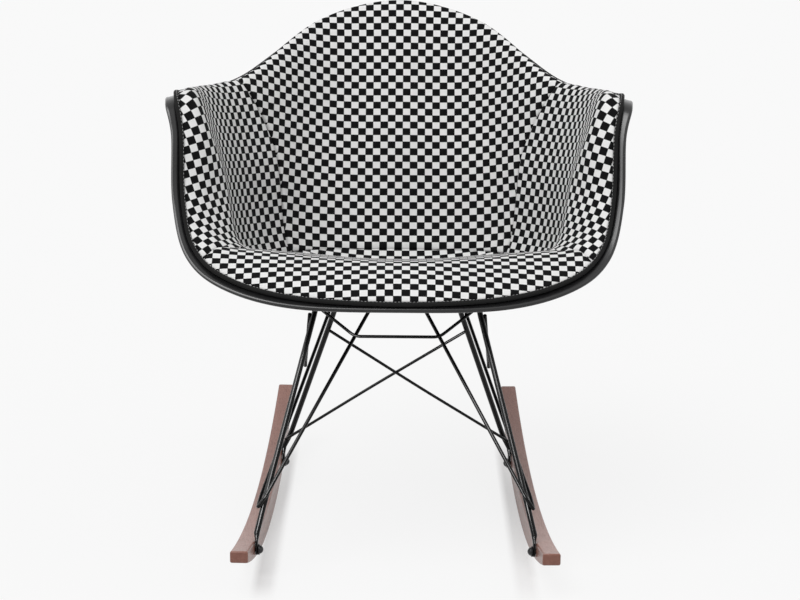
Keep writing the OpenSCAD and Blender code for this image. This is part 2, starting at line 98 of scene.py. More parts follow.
# stations from the front centre, round one side, to the back centre, in six rings outwards
ringShares = [
    [(0, -0.206, 0.057), (0.152, -0.192, 0.054), (0.269, -0.163, 0.051), (0.337, -0.129, 0.032),
     (0.364, -0.086, 0), (0.37, -0.065, -0.019), (0.37, -0.048, -0.032), (0.364, -0.014, -0.057),
     (0.33, 0.052, -0.085), (0.242, 0.089, -0.101), (0.128, 0.1, -0.111), (0, 0.103, -0.111)],
    [(0, -0.366, 0.109), (0.32, -0.344, 0.114), (0.522, -0.284, 0.117), (0.606, -0.203, 0.089),
     (0.657, -0.137, 0.044), (0.673, -0.1, 0.006), (0.68, -0.069, -0.013), (0.667, -0.009, -0.032),
     (0.599, 0.1, -0.044), (0.444, 0.192, -0.054), (0.236, 0.22, -0.057), (0, 0.225, -0.057)],
    [(0, -0.424, 0.092), (0.377, -0.399, 0.098), (0.606, -0.337, 0.13), (0.724, -0.266, 0.149),
     (0.747, -0.192, 0.269), (0.761, -0.158, 0.38), (0.778, -0.113, 0.411), (0.774, -0.007, 0.411),
     (0.69, 0.131, 0.386), (0.505, 0.258, 0.38), (0.276, 0.335, 0.443), (0, 0.349, 0.506)],
    [(0, -0.469, 0.051), (0.418, -0.442, 0.063), (0.673, -0.381, 0.108), (0.801, -0.309, 0.184),
     (0.832, -0.251, 0.316), (0.828, -0.21, 0.538), (0.869, -0.168, 0.703), (0.865, -0.014, 0.695),
     (0.795, 0.134, 0.674), (0.66, 0.249, 0.696), (0.37, 0.418, 0.886), (0, 0.45, 0.956)],
    [(0, -0.498, 0), (0.438, -0.473, 0.013), (0.717, -0.416, 0.066), (0.859, -0.347, 0.158),
     (0.912, -0.28, 0.329), (0.923, -0.237, 0.585), (0.956, -0.179, 0.722), (0.97, -0.014, 0.698),
     (0.889, 0.155, 0.676), (0.734, 0.289, 0.696), (0.397, 0.462, 0.892), (0, 0.502, 0.994)],
    [(0, -0.51, -0.032), (0.451, -0.491, -0.022), (0.741, -0.435, 0.032), (0.899, -0.363, 0.127),
     (0.961, -0.292, 0.316), (0.975, -0.244, 0.579), (1.017, -0.186, 0.703), (1.03, -0.014, 0.68),
     (0.929, 0.167, 0.658), (0.764, 0.306, 0.674), (0.407, 0.479, 0.867), (0, 0.522, 0.975)],
]
spans = 22
armSeam = 8 / 3      # station of the seam between the seat and an arm
backSeam = 26 / 3    # station of the seam between an arm and the back


def atShare(share, side=1):
    return Vector((side * share[0] * bucket["width"] / 2, share[1] * bucket["depth"],
                   bucket["frontEdge"] + share[2] * bucket["height"]))


def station(ring, k):
    k = k % spans
    if k <= spans // 2:
        return atShare(ringShares[ring - 1][k])
    return atShare(ringShares[ring - 1][spans - k], -1)


def between(a, b, c, d, u):
    return (2 * b + (c - a) * u + (2 * a - 5 * b + 4 * c - d) * u * u + (3 * b - a - 3 * c + d) * u ** 3) / 2


def onRing(ring, a):
    k = math.floor(a)
    return between(station(ring, k - 1), station(ring, k), station(ring, k + 1), station(ring, k + 2), a - k)


seatCentre = atShare(centreShare)
ribStore = {}


def rib(a):
    key = round((a % spans) * 1e6)
    if key not in ribStore:
        p = [onRing(r, a) for r in range(1, 6)]
        lip = onRing(6, a) - p[4]
        beyond = p[4] + (p[4] - p[3]).length * lip.normalized()
        ribStore[key] = [onRing(1, a + spans / 2), seatCentre] + p + [beyond]
    return ribStore[key]


def cover(a, t):
    p = rib(a)
    r = min(int(t), 4)
    return between(p[r], p[r + 1], p[r + 2], p[r + 3], t - r)


def coverNormal(a, t):
    if t < 1e-4:
        return Vector((0, 0, 1))
    along = cover(a + 0.02, t) - cover(a - 0.02, t)
    outwards = cover(a, min(t + 0.02, 5)) - cover(a, max(t - 0.02, 0))
    return outwards.cross(along).normalized()


def foamAt(t):
    places = [(0, 1), (3.8, 1), (4.15, 0.75), (4.5, 0.4), (4.8, 0.12), (5, 0)]
    for (t0, s0), (t1, s1) in zip(places, places[1:]):
        if t <= t1:
            share = s0 + (s1 - s0) * (t - t0) / (t1 - t0)
            break
    return bucket["foamAtEdge"] + (bucket["foam"] - bucket["foamAtEdge"]) * share


def edgeFrame(a):
    edge = cover(a, 5)
    lipEnd = onRing(6, a)
    out = (lipEnd - edge).normalized()
    n = coverNormal(a, 5)
    up = (n - n.dot(out) * out).normalized()
    return edge, lipEnd, out, up


# Small helpers
def deselectAll():
    if bpy.context.object and bpy.context.object.mode != "OBJECT":
        bpy.ops.object.mode_set(mode="OBJECT")
    bpy.ops.object.select_all(action="DESELECT")


def makeActive(obj):
    deselectAll()
    obj.select_set(True)
    bpy.context.view_layer.objects.active = obj


def meshFrom(name, points, faces):
    mesh = bpy.data.meshes.new(name)
    mesh.from_pydata([tuple(p) for p in points], [], faces)
    mesh.update()
    obj = bpy.data.objects.new(name, mesh)
    scene.collection.objects.link(obj)
    return obj


def applyAll(obj):
    makeActive(obj)
    for modifier in list(obj.modifiers):
        bpy.ops.object.modifier_apply(modifier=modifier.name)


def settle(obj):
    # puts the object's place into its mesh
    obj.data.transform(obj.matrix_world)
    obj.matrix_world = Matrix.Identity(4)
    obj.data.update()


def faceOutwards(obj, merge=False):
    makeActive(obj)
    bpy.ops.object.mode_set(mode="EDIT")
    bpy.ops.mesh.select_all(action="SELECT")
    if merge:
        bpy.ops.mesh.remove_doubles(threshold=0.00001)
    bpy.ops.mesh.normals_make_consistent(inside=False)
    bpy.ops.object.mode_set(mode="OBJECT")


def finishPiece(obj, material, slotName, *nodes):
    obj.data.materials.clear()
    obj.data.materials.append(material)
    if nodes:
        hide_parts(*nodes)
    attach(obj, "root")


def smooth(obj, angle=35):
    makeActive(obj)
    bpy.ops.object.shade_smooth_by_angle(angle=math.radians(angle))


# Materials
class Sheet:
    # a material's or a group's nodes, added and joined with short calls
    def __init__(self, tree):
        self.tree = tree
        self.count = 0

    def add(self, kind, **values):
        node = self.tree.nodes.new(kind)
        node.location = (180 * (self.count % 9), -240 * (self.count // 9))
        self.count += 1
        for key, value in values.items():
            setattr(node, key, value)
        return node

    def join(self, source, target):
        self.tree.links.new(source, target)

    def math(self, operation, a, b=None, clamp=False):
        node = self.add("ShaderNodeMath", operation=operation, use_clamp=clamp)
        for socket, value in zip(node.inputs, (a, b)):
            if value is None:
                continue
            if isinstance(value, (int, float)):
                socket.default_value = value
            else:
                self.join(value, socket)
        return node.outputs[0]

    def ramp(self, value, low, high, outLow=0.0, outHigh=1.0):
        node = self.add("ShaderNodeMapRange")
        node.inputs["From Min"].default_value = low
        node.inputs["From Max"].default_value = high
        node.inputs["To Min"].default_value = outLow
        node.inputs["To Max"].default_value = outHigh
        self.join(value, node.inputs["Value"])
        return node.outputs["Result"]

    def mix(self, factor, a, b):
        node = self.add("ShaderNodeMix", data_type="RGBA")
        for socket, value in ((node.inputs["Factor"], factor), (node.inputs[6], a), (node.inputs[7], b)):
            if isinstance(value, (int, float, tuple)):
                socket.default_value = value
            else:
                self.join(value, socket)
        return node.outputs[2]

    def noise(self, vector, scale, detail=3.0, roughness=0.5):
        node = self.add("ShaderNodeTexNoise")
        node.inputs["Scale"].default_value = scale
        node.inputs["Detail"].default_value = detail
        node.inputs["Roughness"].default_value = roughness
        self.join(vector, node.inputs["Vector"])
        return node.outputs["Fac"]


def newGroup(name, inputs, outputs):
    tree = bpy.data.node_groups.new(name, "ShaderNodeTree")
    for label, kind, value in inputs:
        socket = tree.interface.new_socket(name=label, in_out="INPUT", socket_type=kind)
        if value is not None:
            socket.default_value = value
    for label, kind in outputs:
        tree.interface.new_socket(name=label, in_out="OUTPUT", socket_type=kind)
    sheet = Sheet(tree)
    return tree, sheet, sheet.add("NodeGroupInput").outputs, sheet.add("NodeGroupOutput").inputs


def newMaterial(name, **values):
    material = bpy.data.materials.new(name)
    material.use_nodes = True
    material.node_tree.nodes.clear()
    sheet = Sheet(material.node_tree)
    shader = sheet.add("ShaderNodeBsdfPrincipled")
    output = sheet.add("ShaderNodeOutputMaterial")
    sheet.join(shader.outputs[0], output.inputs[0])
    for key, value in values.items():
        shader.inputs[key.replace("_", " ")].default_value = value
    return material, sheet, shader


def placeGroup(sheet, tree, vector, **values):
    node = sheet.add("ShaderNodeGroup")
    node.node_tree = tree
    sheet.join(vector, node.inputs["Vector"])
    for key, value in values.items():
        node.inputs[key].default_value = value
    return node.outputs


def bump(sheet, shader, height, strength, distance):
    node = sheet.add("ShaderNodeBump")
    node.inputs["Strength"].default_value = strength
    node.inputs["Distance"].default_value = distance
    sheet.join(height, node.inputs["Height"])
    sheet.join(node.outputs[0], shader.inputs["Normal"])


def objectPlace(sheet):
    return sheet.add("ShaderNodeTexCoord").outputs["Object"]


# plain weave: threads going over and under each other, with uneven yarn. Its Shade output is partly the
# yarn's uneven tone and partly painted shade, darker where a thread sinks between the others
weave, g, given, result = newGroup("plainWeave", [
    ("Vector", "NodeSocketVector", None), ("Pitch", "NodeSocketFloat", 0.0006),
    ("Unevenness", "NodeSocketFloat", 0.3)],
    [("Height", "NodeSocketFloat"), ("Shade", "NodeSocketFloat")])
parts = g.add("ShaderNodeSeparateXYZ")
g.join(given["Vector"], parts.inputs[0])
turnU = g.math("MULTIPLY", g.math("DIVIDE", parts.outputs[0], given["Pitch"]), math.pi)
turnV = g.math("MULTIPLY", g.math("DIVIDE", parts.outputs[1], given["Pitch"]), math.pi)
over = g.math("MULTIPLY", g.math("SINE", turnU), g.math("SINE", turnV))
yarn = g.noise(given["Vector"], 900, 2)
lift = g.math("ADD", g.math("ABSOLUTE", over), g.math("MULTIPLY", yarn, given["Unevenness"]))
g.join(lift, result["Height"])
g.join(g.ramp(lift, 0, 1.2, 0.86, 1.0), result["Shade"])

# fine grain of moulded plastic, rubber and powder coat, with faint dust and handling marks
grain, g, given, result = newGroup("fineGrain", [
    ("Vector", "NodeSocketVector", None), ("Scale", "NodeSocketFloat", 900),
    ("Marks", "NodeSocketFloat", 14)],
    [("Height", "NodeSocketFloat"), ("Marks", "NodeSocketFloat")])
fine = g.add("ShaderNodeTexNoise")
fine.inputs["Detail"].default_value = 2
g.join(given["Vector"], fine.inputs["Vector"])
g.join(given["Scale"], fine.inputs["Scale"])
broad = g.add("ShaderNodeTexNoise")
broad.inputs["Detail"].default_value = 6
broad.inputs["Roughness"].default_value = 0.65
g.join(given["Vector"], broad.inputs["Vector"])
g.join(given["Marks"], broad.inputs["Scale"])
g.join(fine.outputs["Fac"], result["Height"])
g.join(g.ramp(broad.outputs["Fac"], 0.35, 0.75), result["Marks"])


def checkCloth():
    looks = {"checkWide": 0.0106, "checkTall": 0.0097, "spread": 0.025, "white": (0.86, 0.86, 0.855, 1),
             "black": (0.006, 0.006, 0.0065, 1)}
    material, s, shader = newMaterial("chequeredCloth", Roughness=0.86, Sheen_Weight=0.02,
                                      Sheen_Roughness=0.5, Specular_IOR_Level=0.06)
    uv = s.add("ShaderNodeUVMap", uv_map="clothMap").outputs[0]
    parts = s.add("ShaderNodeSeparateXYZ")
    s.join(uv, parts.inputs[0])
    # two sets of black checks, each a little larger than the white ones, as dark yarn spreads
    steps = []
    for place, size in ((parts.outputs[0], looks["checkWide"]), (parts.outputs[1], looks["checkTall"])):
        steps.append(s.math("PINGPONG", s.math("DIVIDE", s.math("ADD", place, size / 2), size), 1.0))
    half = 0.5 + looks["spread"]
    firstSet = s.math("SUBTRACT", half, s.math("MAXIMUM", steps[0], steps[1]))
    secondSet = s.math("SUBTRACT", s.math("MINIMUM", steps[0], steps[1]), 1 - half)
    dark = s.ramp(s.math("MAXIMUM", firstSet, secondSet), -0.01, 0.02)
    threads = placeGroup(s, weave, uv, Pitch=0.00058, Unevenness=0.35)
    patches = s.noise(uv, 11, 4)
    aged = tuple(0.94 * c for c in looks["white"][:3]) + (1,)
    white = s.mix(s.ramp(patches, 0.3, 0.75), looks["white"], aged)
    colour = s.mix(dark, white, looks["black"])
    # the weave's Shade darkens the colour in the hollows between threads: painted shade, with some uneven
    # yarn tone
    shaded = s.mix(1.0, colour, (1, 1, 1, 1))
    shaded.node.blend_type = "MULTIPLY"
    s.join(threads["Shade"], shaded.node.inputs[7])
    s.join(shaded, shader.inputs["Base Color"])
    bump(s, shader, threads["Height"], 0.35, 0.00022)
    return material


def gloss(name, colour, roughness, scale, strength, distance, **values):
    material, s, shader = newMaterial(name, Base_Color=colour, Roughness=roughness, **values)
    place = objectPlace(s)
    marks = placeGroup(s, grain, place, Scale=scale)
    s.join(s.ramp(marks["Marks"], 0, 1, roughness * 0.9, roughness * 1.25), shader.inputs["Roughness"])
    dusty = tuple(min(1, c * 1.35 + 0.002) for c in colour[:3]) + (1,)
    s.join(s.mix(marks["Marks"], colour, dusty), shader.inputs["Base Color"])
    bump(s, shader, marks["Height"], strength, distance)
    return material


def weltCloth():
    material, s, shader = newMaterial("blackWelt", Base_Color=(0.008, 0.008, 0.008, 1), Roughness=0.7,
                                      Sheen_Weight=0.03, Sheen_Roughness=0.4, Specular_IOR_Level=0.12)
    uv = s.add("ShaderNodeUVMap", uv_map="clothMap").outputs[0]
    threads = placeGroup(s, weave, uv, Pitch=0.0009, Unevenness=0.2)
    # the welt's colour is darker in the weave's hollows: painted shade, with some uneven yarn tone
    colour = s.mix(threads["Shade"], (0.003, 0.003, 0.003, 1), (0.010, 0.010, 0.010, 1))
    s.join(colour, shader.inputs["Base Color"])
    bump(s, shader, threads["Height"], 0.5, 0.0003)
    return material


def walnut():
    looks = {"dark": (0.11, 0.038, 0.026, 1), "middle": (0.195, 0.075, 0.051, 1),
             "light": (0.26, 0.115, 0.083, 1), "paintedTopLight": (0.42, 0.21, 0.17, 1)}
    material, s, shader = newMaterial("oiledWalnut", Roughness=0.40, Specular_IOR_Level=0.3, Coat_Weight=0.35,
                                      Coat_Roughness=0.2)
    stretch = s.add("ShaderNodeMapping")
    stretch.inputs["Scale"].default_value = (60, 2.2, 60)
    s.join(objectPlace(s), stretch.inputs["Vector"])
    bands = s.noise(stretch.outputs[0], 2.6, 5, 0.55)
    pores = s.add("ShaderNodeMapping")
    pores.inputs["Scale"].default_value = (900, 26, 900)
    s.join(objectPlace(s), pores.inputs["Vector"])
    streaks = s.noise(pores.outputs[0], 1.0, 3, 0.6)
    facing = s.add("ShaderNodeSeparateXYZ")
    s.join(s.add("ShaderNodeNewGeometry").outputs["Normal"], facing.inputs[0])
    base = s.mix(s.ramp(bands, 0.33, 0.68), looks["middle"], looks["light"])
    # faces that point up are mixed towards a lighter colour: painted light from above, not the wood's own
    # tone
    base = s.mix(s.ramp(facing.outputs[2], 0.75, 0.95, 0, 0.45), base, looks["paintedTopLight"])
    base = s.mix(s.ramp(streaks, 0.48, 0.72, 0, 0.6), base, looks["dark"])
    endGrain = s.ramp(s.math("ABSOLUTE", facing.outputs[1]), 0.75, 0.92, 0, 0.35)
    s.join(s.mix(endGrain, base, looks["dark"]), shader.inputs["Base Color"])
    s.join(s.ramp(streaks, 0.3, 0.8, 0.36, 0.52), shader.inputs["Roughness"])
    bump(s, shader, streaks, 0.18, 0.0002)
    return material


cloth = checkCloth()
weltMaterial = weltCloth()
thread = newMaterial("greyThread", Base_Color=(0.30, 0.30, 0.30, 1), Roughness=0.7, Sheen_Weight=0.2)[0]
shellMaterial = gloss("mouldedBlack", (0.006, 0.006, 0.0065, 1), 0.26, 700, 0.06, 0.0002,
                      Specular_IOR_Level=0.35, Coat_Weight=0.2, Coat_Roughness=0.12)
rubber = gloss("blackRubber", (0.018, 0.018, 0.018, 1), 0.72, 500, 0.25, 0.0003)
powderCoat = gloss("satinBlackWire", (0.002, 0.002, 0.0022, 1), 0.16, 1500, 0.04, 0.0001,
                   Specular_IOR_Level=0.16)
blackSteel = gloss("blackenedSteel", (0.03, 0.03, 0.031, 1), 0.32, 900, 0.10, 0.0001, Metallic=0.75)
wood = walnut()
print("materials made:", len(bpy.data.materials))


# Padded panels
padding = {
    "columnsPerSpan": 12,
    "sinkWidth": 0.0032,      # how far from a seam the cloth starts to turn down
    "edgeRoll": 0.0012,       # how far the cloth turns down at the welt
    "rollWidth": 0.035,
    "fill": 0.85,
}


def lines(low, high, count, closeTo):
    # even lines from low to high, with closer ones beside the sewn ends, given as distances in the same unit
    steps = [low + (high - low) * k / count for k in range(count + 1)]
    extra = []
    for end, offsets in closeTo:
        sign = 1 if end == low else -1
        extra += [end + sign * o for o in offsets]
    near = min(abs(high - low) / count * 0.45, 1)
    kept = [v for v in steps if all(abs(v - e) > near for e in extra) or v in (low, high)]
    return sorted(set(round(v, 6) for v in kept + extra))


class Panel:
    def __init__(self, name):
        self.name = name
        self.spots = []
        self.ids = {}
        self.faces = []

    def spot(self, a, t, sunk):
        key = (round((a % spans) * 1e5), round(t * 1e5)) if t > 1e-4 else (0, 0)
        if key not in self.ids:
            self.ids[key] = len(self.spots)
            self.spots.append((a, t, sunk))
        return self.ids[key]

    def face(self, corners, sinkAt):
        face = []
        for a, t in corners:
            k = self.spot(a, t, sinkAt(a, t))
            if k not in face:
                face.append(k)
        self.faces.append(face)

    def quad(self, a0, a1, t0, t1, sinkAt):
        self.face([(a0, t0), (a0, t1), (a1, t1), (a1, t0)], sinkAt)


def sinkFor(seams):
    # seams are pairs of a kind and a place: a rib's station or a ring's number
    def sinkAt(a, t):
        a = a % spans
        nearest = 1.0
        for kind, place in seams:
            if kind == "rib":
                step = (cover(place + 0.05, t) - cover(place - 0.05, t)).length / 0.1
                nearest = min(nearest, abs(a - place % spans) * step)
            else:
                step = (cover(a, place + 0.03) - cover(a, place - 0.03)).length / 0.06
                nearest = min(nearest, abs(t - place) * step)
        return math.exp(-(nearest / padding["sinkWidth"]) ** 2)
    return sinkAt


def panelGrid(name, a0, a1, count, t0=2, t1=5):
    panel = Panel(name)
    closeA = (0.02, 0.05, 0.1)
    ribs = lines(a0, a1, count, [(a0, closeA), (a1, closeA)])
    rings = lines(t0, t1, 54, [(t0, (0.015, 0.035, 0.07)), (t1, (0.02, 0.05))])
    sinkAt = sinkFor([("rib", a0), ("rib", a1), ("ring", t0)])
    for a, b in zip(ribs, ribs[1:]):
        for t, u in zip(rings, rings[1:]):
            panel.quad(a, b, t, u, sinkAt)
    return panel


seatSteps = 33       # rings of the seat's square-laid middle; its outermost has eight times as many points
drawnIn = [0, 0.02, 0.055, 0.11, 0.19, 0.31, 0.5]


def drawnStation(a):
    # ribs stand closer together beside the seams at the arms' feet
    a = (a + spans / 2) % spans - spans / 2
    away = abs(a) - armSeam
    if abs(away) < 0.5:
        k = min(int(abs(away) * padding["columnsPerSpan"]), 5)
        share = abs(away) * padding["columnsPerSpan"] - k
        moved = drawnIn[k] + (drawnIn[k + 1] - drawnIn[k]) * share
        return math.copysign(armSeam + math.copysign(moved, away), a)
    return a


def discPlace(x, y):
    # the middle is laid as a square grid, so that no point has more than four edges
    k = max(abs(x), abs(y))
    if k == 0:
        return 0.0, 0.0
    if y == -k and x >= 0:
        m = x
    elif x == k:
        m = 2 * k + y
    elif y == k:
        m = 4 * k - x
    elif x == -k:
        m = 6 * k - y
    else:
        m = 8 * k + x
    near = seatSteps - k
    closeRings = [2, 1.985, 1.96, 1.92, 1.865, 1.795]
    t = closeRings[near] if near < len(closeRings) else 1.795 * k / (seatSteps - 5)
    return drawnStation(spans * m / (8 * k)), t


def seatGrid():
    panel = Panel("seatCushion")
    seamSink = sinkFor([("rib", armSeam)])
    creaseSink = sinkFor([("ring", 2)])

    def sinkAt(a, t):
        a = (a + spans / 2) % spans - spans / 2
        if abs(a) > armSeam + 1e-6:
            return creaseSink(a, t)
        if t > 1.8:
            return seamSink(abs(a), max(t, 2))
        return 0
    for x in range(-seatSteps, seatSteps):
        for y in range(-seatSteps, seatSteps):
            panel.face([discPlace(*c) for c in ((x, y), (x + 1, y), (x + 1, y + 1), (x, y + 1))], sinkAt)
    frontRings = lines(2, 5, 34, [(5, (0.02, 0.05))])
    reach = round(armSeam * padding["columnsPerSpan"])
    columns = [drawnStation(m / padding["columnsPerSpan"]) for m in range(-reach, reach + 1)]
    for a, b in zip(columns, columns[1:]):
        for t, u in zip(frontRings, frontRings[1:]):
            panel.quad(a, b, t, u, sinkAt)
    return panel


def flatten(obj, originSpot, towards, turn, shift):
    # lays the panel flat as its cut cloth would be, at real size, turned to the grain
    makeActive(obj)
    obj.data.uv_layers.new(name="clothMap")
    bpy.ops.object.mode_set(mode="EDIT")
    bpy.ops.mesh.select_all(action="SELECT")
    bpy.ops.uv.unwrap(method="CONFORMAL", margin=0)
    bpy.ops.object.mode_set(mode="OBJECT")
    mesh = obj.data
    layer = mesh.uv_layers["clothMap"].data
    flat = {}
    areaUv = 0
    for face in mesh.polygons:
        loop = [layer[k].uv.copy() for k in face.loop_indices]
        for k, uv in zip(face.vertices, loop):
            flat[k] = uv
        for p, q in zip(loop[1:], loop[2:]):
            areaUv += (p - loop[0]).cross(q - loop[0]) / 2
    area = sum(face.area for face in mesh.polygons)
    scale = math.sqrt(area / abs(areaUv))
    origin = flat[originSpot]
    way = flat[towards] - origin
    angle = math.atan2(way.y, way.x)
    spin = Matrix.Rotation(math.radians(90 + turn) - angle, 2)
    placed = {}
    for k, uv in flat.items():
        p = spin @ ((uv - origin) * scale)
        placed[k] = Vector((p.x + shift[0], p.y + shift[1]))
    for face in mesh.polygons:
        for k, index in zip(face.vertices, face.loop_indices):
            layer[index].uv = placed[k]
    sides = [[p[i] for p in placed.values()] for i in (0, 1)]
    print("  ", obj.name, "cut size", [round(max(side) - min(side), 3) for side in sides])
    return placed


def buildPad(panel, node, originAt, towardsAt, turn, shift):
    tops = []
    lows = []
    for a, t, sunk in panel.spots:
        n = coverNormal(a, t)
        p = cover(a, t)
        roll = padding["edgeRoll"] * math.exp(-((5 - t) / padding["rollWidth"]) ** 2)
        tops.append(p - (bucket["seamGroove"] * sunk + roll) * n)
        lows.append(p - (foamAt(t) - bucket["clearance"]) * n)

    def nearest(place):
        a, t = place
        goal = cover(a, t)
        return min(range(len(tops)), key=lambda k: (tops[k] - goal).length)
    obj = meshFrom(panel.name + "Cut", tops, panel.faces)
    placed = flatten(obj, nearest(originAt), nearest(towardsAt), turn, shift)
    # underside and sides close the pad
    mesh = obj.data
    uses = {}
    for face in panel.faces:
        for p, q in zip(face, face[1:] + face[:1]):
            uses[(p, q)] = 1
    rim = [(p, q) for p, q in uses if (q, p) not in uses]
    count = len(tops)
    faces = panel.faces + [[k + count for k in reversed(face)] for face in panel.faces]
    faces += [[q, p, p + count, q + count] for p, q in rim]
    body = meshFrom(panel.name, tops + lows, faces)
    layer = body.data.uv_layers.new(name="clothMap").data
    for face in body.data.polygons:
        for k, index in zip(face.vertices, face.loop_indices):
            layer[index].uv = placed[k % count]
    bpy.data.objects.remove(obj)
    bpy.data.meshes.remove(mesh)
    subdivide = body.modifiers.new("smoother", "SUBSURF")
    subdivide.levels = 1
    subdivide.render_levels = 1
    applyAll(body)
    makeActive(body)
    bpy.ops.object.shade_smooth()
    finishPiece(body, cloth, "cover", node)


halfCheck = 0.0053       # a check's middle lies on the chair's middle
armTurn = 12             # degrees between an arm's grain and its back seam
buildPad(seatGrid(), "seat_pad", (0, 0), (11, 1.9), 0, (halfCheck, 0))
buildPad(panelGrid("backCushion", backSeam, spans - backSeam, 56), "back_pad",
         (11, 2), (11, 4.9), 0, (halfCheck, 0))
buildPad(panelGrid("armCushionRight", armSeam, backSeam, 84), "arm_pad_right",
         (backSeam, 2.6), (backSeam, 4), -armTurn, (0, 0))
buildPad(panelGrid("armCushionLeft", spans - backSeam, spans - armSeam, 84), "arm_pad_left",
         (spans - backSeam, 2.6), (spans - backSeam, 4), armTurn, (0, 0))
print("padded panels made")


# Moulded shell with its rolled lip
moulding = {"columns": 264, "innerRows": 24, "beadSteps": 14, "beadTurn": 240}


def buildShell():
    points = []
    loops = []
    for c in range(moulding["columns"]):
        a = spans * c / moulding["columns"]
        edge, lipEnd, out, up = edgeFrame(a)
        r = bucket["beadDiameter"] / 2
        bead = lipEnd - r * out - (bucket["foamAtEdge"] + bucket["shellThickness"] / 2) * up
        loop = []
        for j in range(1, moulding["innerRows"] + 1):
            t = 5 * j / moulding["innerRows"]
            loop.append(cover(a, t) - foamAt(t) * coverNormal(a, t))
        for k in range(moulding["beadSteps"] + 1):
            w = math.radians(moulding["beadTurn"] * (0.5 - k / moulding["beadSteps"]))
            loop.append(bead + r * (math.cos(w) * out + math.sin(w) * up))
        for j in range(2 * moulding["innerRows"], 0, -1):
            t = 2.5 * j / moulding["innerRows"]
            loop.append(cover(a, t) - (foamAt(t) + bucket["shellThickness"]) * coverNormal(a, t))
        loops.append([len(points) + k for k in range(len(loop))])
        points += loop
    faces = []
    for c in range(moulding["columns"]):
        here = loops[c]
        beyond = loops[(c + 1) % moulding["columns"]]
        for k in range(len(here) - 1):
            faces.append([here[k], here[k + 1], beyond[k + 1], beyond[k]])
    points.append(seatCentre - Vector((0, 0, bucket["foam"])))
    points.append(seatCentre - Vector((0, 0, bucket["foam"] + bucket["shellThickness"])))
    for c in range(moulding["columns"]):
        here = loops[c]
        beyond = loops[(c + 1) % moulding["columns"]]
        faces.append([len(points) - 2, here[0], beyond[0]])
        faces.append([len(points) - 1, beyond[-1], here[-1]])
    shell = meshFrom("mouldedShell", points, faces)
    smooth(shell, 50)
    finishPiece(shell, shellMaterial, "shell", "seat_shell")


buildShell()
print("shell made")


# Welt and its stitches
welting = {"columns": 396, "sides": 14, "stitchLength": 0.0030, "stitchPitch": 0.0046, "threadWidth": 0.0009}


def weltCentre(a):
    edge, lipEnd, out, up = edgeFrame(a)
    r = bucket["weltDiameter"] / 2
    rise = 2 * bucket["clearance"] + r - bucket["foamAtEdge"]
    return edge + (r + bucket["clearance"]) * out + rise * up, out, up


def buildWelt():
    n = welting["columns"]
    sides = welting["sides"]
    run = [weltCentre(spans * c / n) for c in range(n)]
    points = []
    faces = []
    length = 0
    lengths = []
    for c in range(n):
        p, out, up = run[c]
        lengths.append(length)
        length += (run[(c + 1) % n][0] - p).length
        t = (run[(c + 1) % n][0] - run[c - 1][0]).normalized()
        side = t.cross(up).normalized()
        rise = side.cross(t)
        for k in range(sides):
            w = math.tau * k / sides
            points.append(p + bucket["weltDiameter"] / 2 * (math.cos(w) * side + math.sin(w) * rise))
    uvs = []
    for c in range(n):
        for k in range(sides):
            a = c * sides + k
            b = c * sides + (k + 1) % sides
            d = ((c + 1) % n) * sides
            faces.append([a, b, d + (k + 1) % sides, d + k])
            u0 = lengths[c]
            u1 = lengths[c + 1] if c + 1 < n else length
            v0 = k / sides * math.pi * bucket["weltDiameter"]
            v1 = (k + 1) / sides * math.pi * bucket["weltDiameter"]
            uvs.append([(u0, v0), (u0, v1), (u1, v1), (u1, v0)])
    welt = meshFrom("edgeWelt", points, faces)
    layer = welt.data.uv_layers.new(name="clothMap").data
    for face, values in zip(welt.data.polygons, uvs):
        for index, uv in zip(face.loop_indices, values):
            layer[index].uv = uv
    faceOutwards(welt)
    bpy.ops.object.shade_smooth()
    finishPiece(welt, weltMaterial, "welt", "edge_welt")
    return length


weltLength = buildWelt()
print("welt made,", round(weltLength, 3), "m long")


def buildStitches():
    # one stitch is a small ball pulled long, copied along the welt's inner shoulder
    deselectAll()
    bpy.ops.mesh.primitive_uv_sphere_add(segments=6, ring_count=4, radius=0.5)
    stitch = bpy.context.object
    shape = [v.co.copy() for v in stitch.data.vertices]
    cells = [list(f.vertices) for f in stitch.data.polygons]
    bpy.data.objects.remove(stitch)
    count = int(weltLength / welting["stitchPitch"])
    points = []
    faces = []
    fineSteps = 2000
    track = []
    length = 0
    last = None
    for k in range(fineSteps + 1):
        a = spans * k / fineSteps
        p, out, up = weltCentre(a)
        if last is not None:
            length += (p - last).length
        track.append((length, a))
        last = p
    step = 0
    for k in range(count):
        goal = (k + 0.5) * length / count
        while track[step + 1][0] < goal:
            step += 1
        l0, a0 = track[step]
        l1, a1 = track[step + 1]
        a = a0 + (a1 - a0) * (goal - l0) / (l1 - l0)
        p, out, up = weltCentre(a)
        q = weltCentre(a + 0.01)[0]
        along = (q - p).normalized()
        r = bucket["weltDiameter"] / 2
        facing = (0.78 * up - 0.62 * out).normalized()
        place = p + (r + welting["threadWidth"] * 0.1) * facing
        cross = along.cross(facing)
        base = len(points)
        for v in shape:
            points.append(place + along * v.x * welting["stitchLength"] + cross * v.y * welting["threadWidth"]
                          + facing * v.z * welting["threadWidth"] * 0.8)
        faces += [[i + base for i in cell] for cell in cells]
    stitches = meshFrom("weltStitches", points, faces)
    faceOutwards(stitches)
    bpy.ops.object.shade_smooth()
    finishPiece(stitches, thread, "welt")


buildStitches()
print("stitches made")


